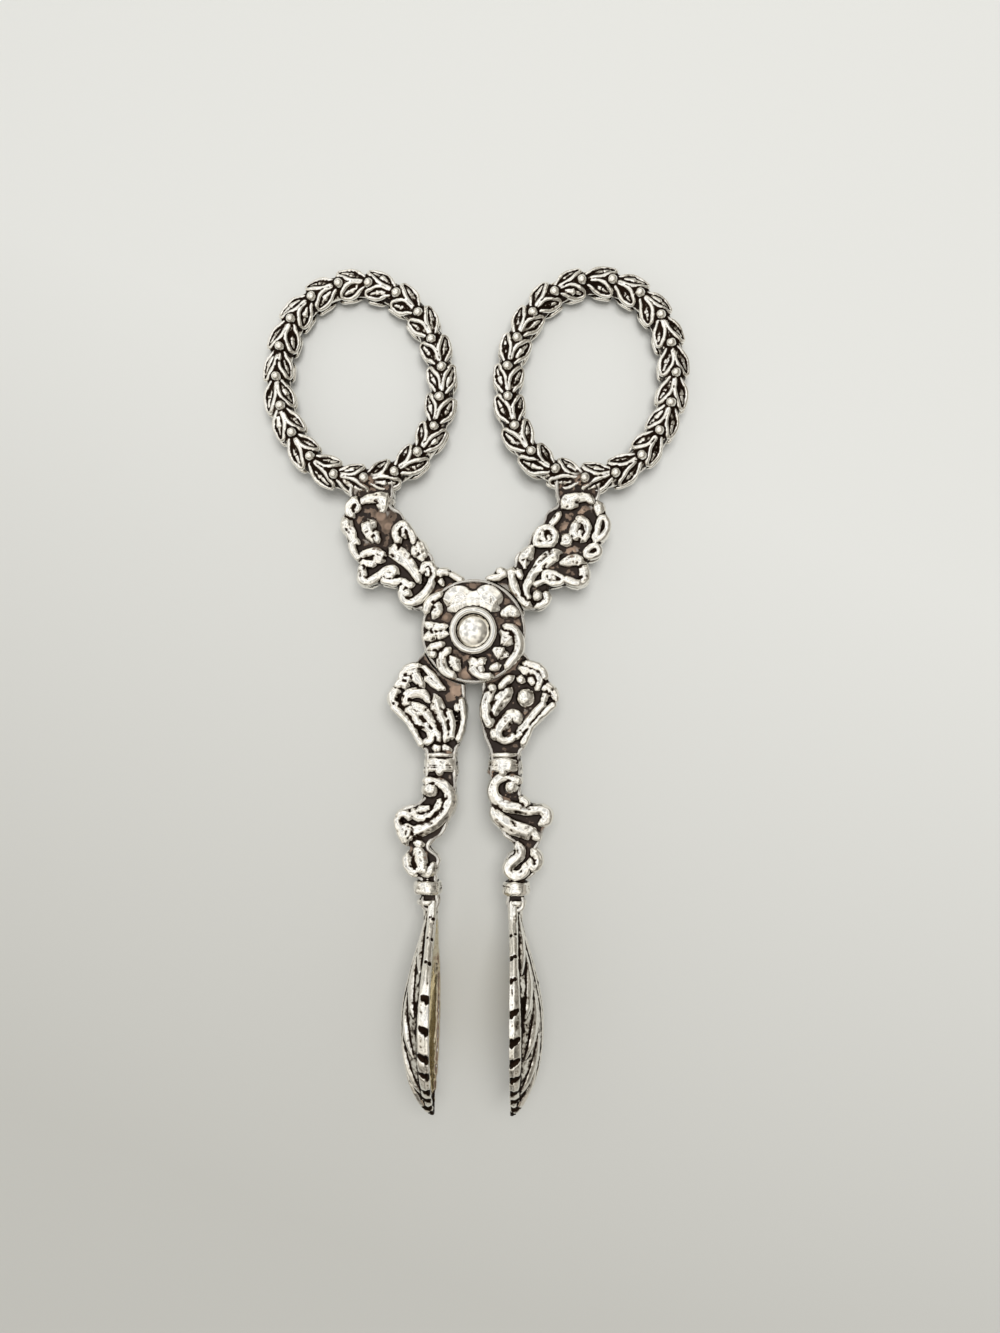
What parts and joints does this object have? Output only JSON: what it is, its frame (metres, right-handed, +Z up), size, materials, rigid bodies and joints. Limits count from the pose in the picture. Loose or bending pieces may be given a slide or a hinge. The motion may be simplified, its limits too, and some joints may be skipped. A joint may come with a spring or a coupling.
{
  "type": "sugar nips",
  "caption": "Scissor-action silver sugar nips with laurel finger rings, scrolled acanthus arms on one rivet and leaf-shaped bowls.",
  "frame": {"origin": "on the table, under the middle of the nips' outline as they lie half open", "axes": "+X to the right and +Y towards the finger rings, both along the table; +Z up from the table"},
  "size_m": [0.0612, 0.1187, 0.018],
  "materials": {
    "aged_silver": "cast silver, polished on the high points and dark in the hollows",
    "polished_silver": "polished, with fine wear"
  },
  "bodies": {
    "front_arm": {"front_finger_ring": "aged_silver", "front_handle": "aged_silver", "front_boss": "aged_silver", "front_stem": "aged_silver", "front_bowl": "polished_silver", "rivet": "polished_silver", "rivet_burr": "polished_silver"},
    "back_arm": {"back_finger_ring": "aged_silver", "back_handle": "aged_silver", "back_boss": "aged_silver", "back_stem": "aged_silver", "back_bowl": "polished_silver"}
  },
  "joints": [
    {"name": "pivot", "type": "hinge", "parent": "front_arm", "child": "back_arm", "pos_m": [0, 0.00709, 0.00525], "axis": [0, 0.0687, 0.9976], "range_deg": [-40, 8]}
  ]
}
